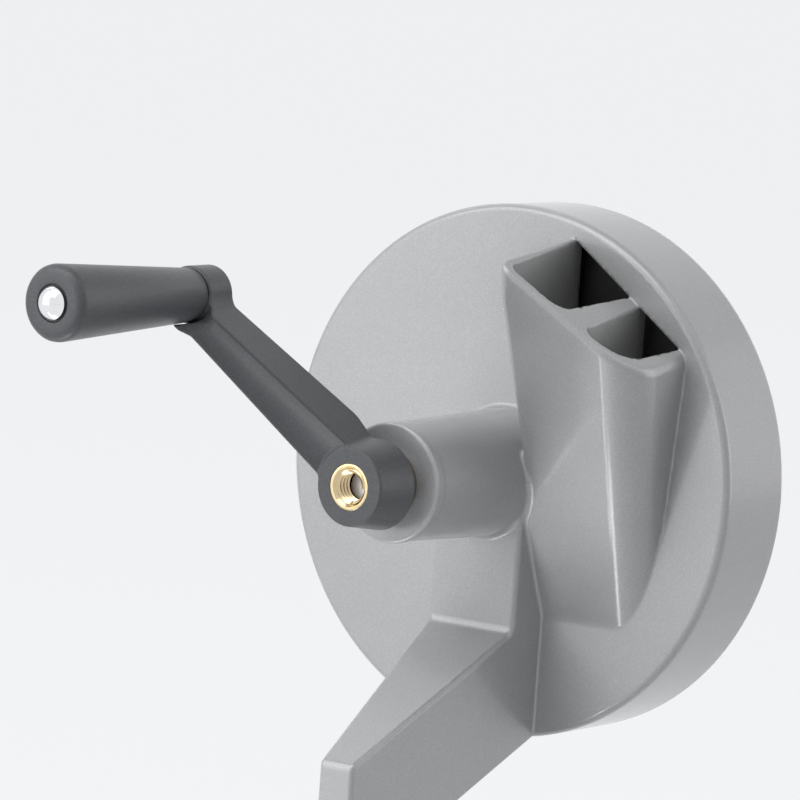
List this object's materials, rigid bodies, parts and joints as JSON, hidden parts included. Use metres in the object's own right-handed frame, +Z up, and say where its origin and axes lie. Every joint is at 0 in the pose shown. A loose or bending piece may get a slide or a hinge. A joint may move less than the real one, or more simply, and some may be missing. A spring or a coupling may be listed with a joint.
{
  "type": "hand cranked bean slicer",
  "caption": "Hand cranked bean slicer: cast drum with a knife disc, a twin channel feed chute, a plastic crank and a screw clamp for a table top.",
  "frame": {"origin": "centre of the clamp's upper seat, in the plane of the table top and on the clamp spindle's axis", "axes": "+Z up out of the table top, along the spindle; +Y into the table, away from the crank and towards the drum's open back; +X right, towards the chute, as seen by the user at the crank"},
  "size_m": [0.16, 0.19, 0.3278],
  "materials": {
    "cast": "die cast, satin silver lacquer",
    "disc": "die cast, black lacquer",
    "blade": "ground",
    "plastic": "fine grain, glass filled",
    "brass": "turned",
    "steel": "zinc plated",
    "chrome": "polished",
    "pad": "matt"
  },
  "bodies": {
    "frame": {"housing": "cast", "front_bushing": "brass", "rear_bushing": "brass"},
    "crank": {"drive_shaft": "steel", "front_washer": "steel", "rear_washer": "steel", "knife_disc": "disc", "knife_1": "blade", "knife_2": "blade", "knife_3": "blade", "knife_screws": "steel", "disc_washer": "steel", "spring_washer": "steel", "disc_nut": "steel", "crank_arm": "plastic", "crank_insert": "brass", "grip_pin": "chrome"},
    "grip": {"crank_grip": "plastic"},
    "plate": {"pressure_plate": "steel", "plate_pad": "pad"},
    "spindle": {"clamp_spindle": "steel", "plate_washer": "steel", "clamp_knob": "plastic", "knob_pin": "steel"}
  },
  "joints": [
    {"name": "crank_spin", "type": "hinge", "parent": "frame", "child": "crank", "pos_m": [0, 0.03, 0.115], "axis": [0, 1, 0], "continuous": true},
    {"name": "grip_spin", "type": "hinge", "parent": "crank", "child": "grip", "pos_m": [-0.05013, -0.08, 0.16584], "axis": [0, 1, 0], "continuous": true},
    {"name": "plate_slide", "type": "slide", "parent": "frame", "child": "plate", "axis": [0, 0, 1], "range_m": [0, 0.04]},
    {"name": "spindle_turn", "type": "hinge", "parent": "plate", "child": "spindle", "pos_m": [0, 0, -0.053], "axis": [0, 0, 1], "range_deg": [0, 7200]}
  ],
  "couplings": [
    {"joint": "spindle_turn", "follows": "plate_slide", "rad_per_m": 3141.6}
  ]
}
